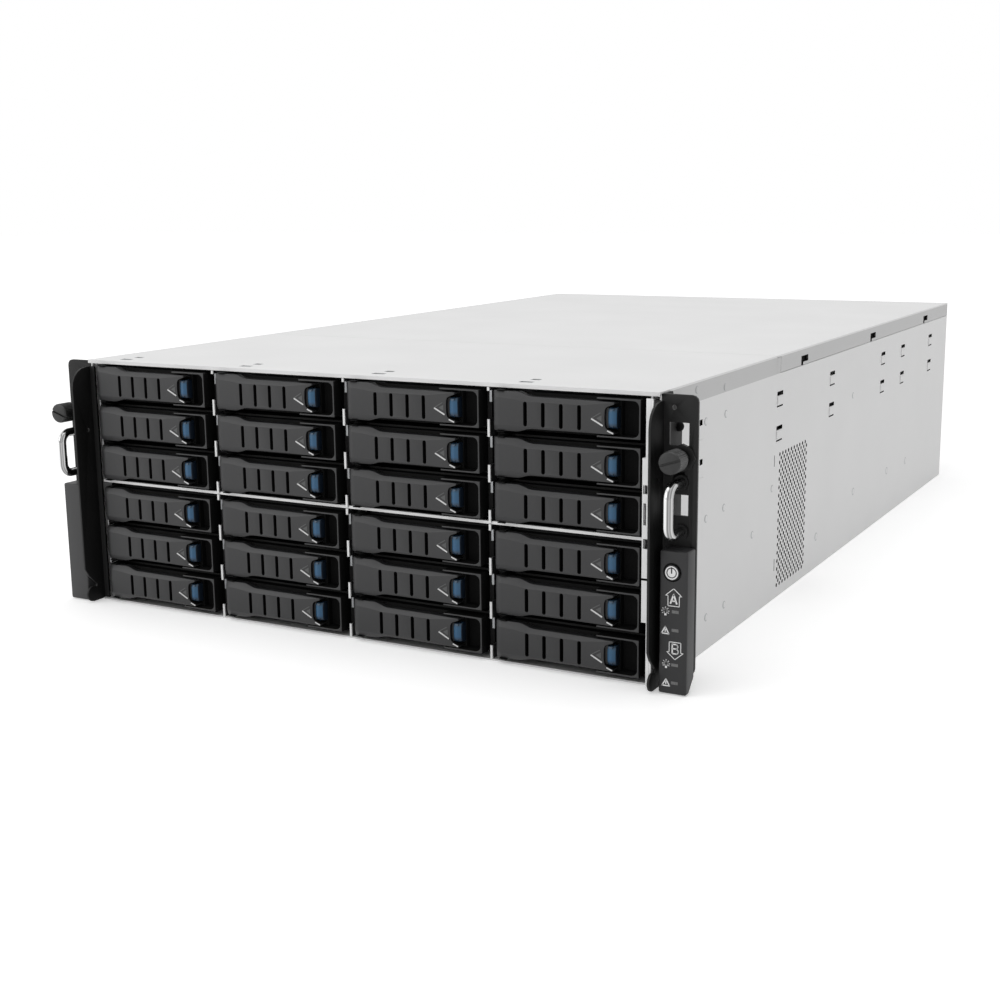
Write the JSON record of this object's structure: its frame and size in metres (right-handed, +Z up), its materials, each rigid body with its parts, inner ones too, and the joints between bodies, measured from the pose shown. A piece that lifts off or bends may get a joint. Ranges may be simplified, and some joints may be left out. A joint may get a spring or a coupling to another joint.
{
  "type": "storage server chassis",
  "caption": "Rack-mount storage server chassis: sliding drive carriers with levers and latches, rack ears with handles and thumbscrews, sliding lid, controller and power modules behind.",
  "frame": {"origin": "middle of the footprint at the lowest face of the chassis floor", "axes": "+X to the right seen from the front, +Y to the back, +Z up; the drives face -Y"},
  "size_m": [0.4826, 0.791, 0.176],
  "materials": {
    "zinc_steel": "galvanised sheet",
    "black_paint": "satin black paint",
    "black_metal": "dark knurled metal",
    "bright_chrome": "polished chrome",
    "grey_black_plastic": "matt",
    "black_plastic": "satin",
    "blue_plastic": "satin",
    "green_board": "solder mask"
  },
  "bodies": {
    "chassis": {"chassis_base": "zinc_steel", "front_top_cover": "zinc_steel", "cage_shelf": "zinc_steel", "cage_dividers": "zinc_steel", "cage_side_walls": "zinc_steel", "drive_backplane": "green_board", "rear_bay_frame": "zinc_steel", "rack_ear_left": "black_paint", "rack_ear_right": "black_paint", "front_handles": "bright_chrome", "ear_box_left": "grey_black_plastic", "control_panel": "grey_black_plastic"},
    "rear_lid": {"rear_lid": "zinc_steel"},
    "thumbscrew_left": {"thumbscrew_left": "black_metal"},
    "thumbscrew_right": {"thumbscrew_right": "black_metal"},
    "power_button": {"power_button": "grey_black_plastic"},
    "drive_carrier_01": {"drive_carrier_01": "black_plastic"},
    "carrier_lever_01": {"carrier_lever_01": "black_plastic"},
    "carrier_latch_01": {"carrier_latch_01": "blue_plastic"},
    "drive_carrier_02": {"drive_carrier_02": "black_plastic"},
    "carrier_lever_02": {"carrier_lever_02": "black_plastic"},
    "carrier_latch_02": {"carrier_latch_02": "blue_plastic"},
    "drive_carrier_03": {"drive_carrier_03": "black_plastic"},
    "carrier_lever_03": {"carrier_lever_03": "black_plastic"},
    "carrier_latch_03": {"carrier_latch_03": "blue_plastic"},
    "drive_carrier_04": {"drive_carrier_04": "black_plastic"},
    "carrier_lever_04": {"carrier_lever_04": "black_plastic"},
    "carrier_latch_04": {"carrier_latch_04": "blue_plastic"},
    "drive_carrier_05": {"drive_carrier_05": "black_plastic"},
    "drive_carrier_06": {"drive_carrier_06": "black_plastic"},
    "drive_carrier_07": {"drive_carrier_07": "black_plastic"},
    "drive_carrier_08": {"drive_carrier_08": "black_plastic"},
    "drive_carrier_09": {"drive_carrier_09": "black_plastic"},
    "drive_carrier_10": {"drive_carrier_10": "black_plastic"},
    "drive_carrier_11": {"drive_carrier_11": "black_plastic"},
    "drive_carrier_12": {"drive_carrier_12": "black_plastic"},
    "drive_carrier_13": {"drive_carrier_13": "black_plastic"},
    "drive_carrier_14": {"drive_carrier_14": "black_plastic"},
    "drive_carrier_15": {"drive_carrier_15": "black_plastic"},
    "drive_carrier_16": {"drive_carrier_16": "black_plastic"},
    "drive_carrier_17": {"drive_carrier_17": "black_plastic"},
    "drive_carrier_18": {"drive_carrier_18": "black_plastic"},
    "drive_carrier_19": {"drive_carrier_19": "black_plastic"},
    "drive_carrier_20": {"drive_carrier_20": "black_plastic"},
    "drive_carrier_21": {"drive_carrier_21": "black_plastic"},
    "drive_carrier_22": {"drive_carrier_22": "black_plastic"},
    "drive_carrier_23": {"drive_carrier_23": "black_plastic"},
    "drive_carrier_24": {"drive_carrier_24": "black_plastic"},
    "canister_a": {"canister_a": "zinc_steel", "canister_a_board": "green_board"},
    "canister_a_lever": {"canister_a_lever": "black_paint"},
    "canister_a_rotor_1": {"canister_a_rotor_1": "black_plastic"},
    "canister_a_rotor_2": {"canister_a_rotor_2": "black_plastic"},
    "canister_b": {"canister_b": "zinc_steel", "canister_b_board": "green_board"},
    "canister_b_lever": {"canister_b_lever": "black_paint"},
    "canister_b_rotor_1": {"canister_b_rotor_1": "black_plastic"},
    "canister_b_rotor_2": {"canister_b_rotor_2": "black_plastic"},
    "power_supply_upper": {"power_supply_upper": "zinc_steel"},
    "power_supply_lower": {"power_supply_lower": "zinc_steel"}
  },
  "joints": [
    {"name": "rear_lid_slide", "type": "slide", "parent": "chassis", "child": "rear_lid", "axis": [0, 1, 0], "range_m": [0, 0.012]},
    {"name": "thumbscrew_left_turn", "type": "hinge", "parent": "chassis", "child": "thumbscrew_left", "pos_m": [-0.23255, -0.375, 0.1389], "axis": [0, 1, 0], "continuous": true},
    {"name": "thumbscrew_right_turn", "type": "hinge", "parent": "chassis", "child": "thumbscrew_right", "pos_m": [0.23255, -0.375, 0.1389], "axis": [0, 1, 0], "continuous": true},
    {"name": "power_button_press", "type": "slide", "parent": "chassis", "child": "power_button", "axis": [0, 1, 0], "range_m": [0, 0.0012], "stiffness_N_per_m": 600},
    {"name": "drive_carrier_01_slide", "type": "slide", "parent": "chassis", "child": "drive_carrier_01", "axis": [0, -1, 0], "range_m": [0, 0.15]},
    {"name": "carrier_lever_01_swing", "type": "hinge", "parent": "drive_carrier_01", "child": "carrier_lever_01", "pos_m": [-0.2035, -0.3764, 0.1599], "axis": [0, 0, -1], "range_deg": [0, 70]},
    {"name": "carrier_latch_01_press", "type": "slide", "parent": "carrier_lever_01", "child": "carrier_latch_01", "axis": [-1, 0, 0], "range_m": [0, 0.0015], "stiffness_N_per_m": 250},
    {"name": "drive_carrier_02_slide", "type": "slide", "parent": "chassis", "child": "drive_carrier_02", "axis": [0, -1, 0], "range_m": [0, 0.15]},
    {"name": "carrier_lever_02_swing", "type": "hinge", "parent": "drive_carrier_02", "child": "carrier_lever_02", "pos_m": [-0.0967, -0.3764, 0.1599], "axis": [0, 0, -1], "range_deg": [0, 70]},
    {"name": "carrier_latch_02_press", "type": "slide", "parent": "carrier_lever_02", "child": "carrier_latch_02", "axis": [-1, 0, 0], "range_m": [0, 0.0015], "stiffness_N_per_m": 250},
    {"name": "drive_carrier_03_slide", "type": "slide", "parent": "chassis", "child": "drive_carrier_03", "axis": [0, -1, 0], "range_m": [0, 0.15]},
    {"name": "carrier_lever_03_swing", "type": "hinge", "parent": "drive_carrier_03", "child": "carrier_lever_03", "pos_m": [0.0101, -0.3764, 0.1599], "axis": [0, 0, -1], "range_deg": [0, 70]},
    {"name": "carrier_latch_03_press", "type": "slide", "parent": "carrier_lever_03", "child": "carrier_latch_03", "axis": [-1, 0, 0], "range_m": [0, 0.0015], "stiffness_N_per_m": 250},
    {"name": "drive_carrier_04_slide", "type": "slide", "parent": "chassis", "child": "drive_carrier_04", "axis": [0, -1, 0], "range_m": [0, 0.15]},
    {"name": "carrier_lever_04_swing", "type": "hinge", "parent": "drive_carrier_04", "child": "carrier_lever_04", "pos_m": [0.1169, -0.3764, 0.1599], "axis": [0, 0, -1], "range_deg": [0, 70]},
    {"name": "carrier_latch_04_press", "type": "slide", "parent": "carrier_lever_04", "child": "carrier_latch_04", "axis": [-1, 0, 0], "range_m": [0, 0.0015], "stiffness_N_per_m": 250},
    {"name": "drive_carrier_05_slide", "type": "slide", "parent": "chassis", "child": "drive_carrier_05", "axis": [0, -1, 0], "range_m": [0, 0.15]},
    {"name": "drive_carrier_06_slide", "type": "slide", "parent": "chassis", "child": "drive_carrier_06", "axis": [0, -1, 0], "range_m": [0, 0.15]},
    {"name": "drive_carrier_07_slide", "type": "slide", "parent": "chassis", "child": "drive_carrier_07", "axis": [0, -1, 0], "range_m": [0, 0.15]},
    {"name": "drive_carrier_08_slide", "type": "slide", "parent": "chassis", "child": "drive_carrier_08", "axis": [0, -1, 0], "range_m": [0, 0.15]},
    {"name": "drive_carrier_09_slide", "type": "slide", "parent": "chassis", "child": "drive_carrier_09", "axis": [0, -1, 0], "range_m": [0, 0.15]},
    {"name": "drive_carrier_10_slide", "type": "slide", "parent": "chassis", "child": "drive_carrier_10", "axis": [0, -1, 0], "range_m": [0, 0.15]},
    {"name": "drive_carrier_11_slide", "type": "slide", "parent": "chassis", "child": "drive_carrier_11", "axis": [0, -1, 0], "range_m": [0, 0.15]},
    {"name": "drive_carrier_12_slide", "type": "slide", "parent": "chassis", "child": "drive_carrier_12", "axis": [0, -1, 0], "range_m": [0, 0.15]},
    {"name": "drive_carrier_13_slide", "type": "slide", "parent": "chassis", "child": "drive_carrier_13", "axis": [0, -1, 0], "range_m": [0, 0.15]},
    {"name": "drive_carrier_14_slide", "type": "slide", "parent": "chassis", "child": "drive_carrier_14", "axis": [0, -1, 0], "range_m": [0, 0.15]},
    {"name": "drive_carrier_15_slide", "type": "slide", "parent": "chassis", "child": "drive_carrier_15", "axis": [0, -1, 0], "range_m": [0, 0.15]},
    {"name": "drive_carrier_16_slide", "type": "slide", "parent": "chassis", "child": "drive_carrier_16", "axis": [0, -1, 0], "range_m": [0, 0.15]},
    {"name": "drive_carrier_17_slide", "type": "slide", "parent": "chassis", "child": "drive_carrier_17", "axis": [0, -1, 0], "range_m": [0, 0.15]},
    {"name": "drive_carrier_18_slide", "type": "slide", "parent": "chassis", "child": "drive_carrier_18", "axis": [0, -1, 0], "range_m": [0, 0.15]},
    {"name": "drive_carrier_19_slide", "type": "slide", "parent": "chassis", "child": "drive_carrier_19", "axis": [0, -1, 0], "range_m": [0, 0.15]},
    {"name": "drive_carrier_20_slide", "type": "slide", "parent": "chassis", "child": "drive_carrier_20", "axis": [0, -1, 0], "range_m": [0, 0.15]},
    {"name": "drive_carrier_21_slide", "type": "slide", "parent": "chassis", "child": "drive_carrier_21", "axis": [0, -1, 0], "range_m": [0, 0.15]},
    {"name": "drive_carrier_22_slide", "type": "slide", "parent": "chassis", "child": "drive_carrier_22", "axis": [0, -1, 0], "range_m": [0, 0.15]},
    {"name": "drive_carrier_23_slide", "type": "slide", "parent": "chassis", "child": "drive_carrier_23", "axis": [0, -1, 0], "range_m": [0, 0.15]},
    {"name": "drive_carrier_24_slide", "type": "slide", "parent": "chassis", "child": "drive_carrier_24", "axis": [0, -1, 0], "range_m": [0, 0.15]},
    {"name": "canister_a_slide", "type": "slide", "parent": "chassis", "child": "canister_a", "axis": [0, 1, 0], "range_m": [0, 0.3]},
    {"name": "canister_a_lever_swing", "type": "hinge", "parent": "canister_a", "child": "canister_a_lever", "pos_m": [-0.1999, 0.3785, 0.13075], "axis": [0, 0, 1], "range_deg": [0, 80]},
    {"name": "canister_a_rotor_1_spin", "type": "hinge", "parent": "canister_a", "child": "canister_a_rotor_1", "pos_m": [-0.12875, -0.06, 0.13], "axis": [0, 1, 0], "continuous": true},
    {"name": "canister_a_rotor_2_spin", "type": "hinge", "parent": "canister_a", "child": "canister_a_rotor_2", "pos_m": [0.03125, -0.06, 0.13], "axis": [0, 1, 0], "continuous": true},
    {"name": "canister_b_slide", "type": "slide", "parent": "chassis", "child": "canister_b", "axis": [0, 1, 0], "range_m": [0, 0.3]},
    {"name": "canister_b_lever_swing", "type": "hinge", "parent": "canister_b", "child": "canister_b_lever", "pos_m": [-0.1999, 0.3785, 0.04335], "axis": [0, 0, 1], "range_deg": [0, 80]},
    {"name": "canister_b_rotor_1_spin", "type": "hinge", "parent": "canister_b", "child": "canister_b_rotor_1", "pos_m": [-0.12875, -0.06, 0.0426], "axis": [0, 1, 0], "continuous": true},
    {"name": "canister_b_rotor_2_spin", "type": "hinge", "parent": "canister_b", "child": "canister_b_rotor_2", "pos_m": [0.03125, -0.06, 0.0426], "axis": [0, 1, 0], "continuous": true},
    {"name": "power_supply_upper_slide", "type": "slide", "parent": "chassis", "child": "power_supply_upper", "axis": [0, 1, 0], "range_m": [0, 0.2]},
    {"name": "power_supply_lower_slide", "type": "slide", "parent": "chassis", "child": "power_supply_lower", "axis": [0, 1, 0], "range_m": [0, 0.2]}
  ]
}
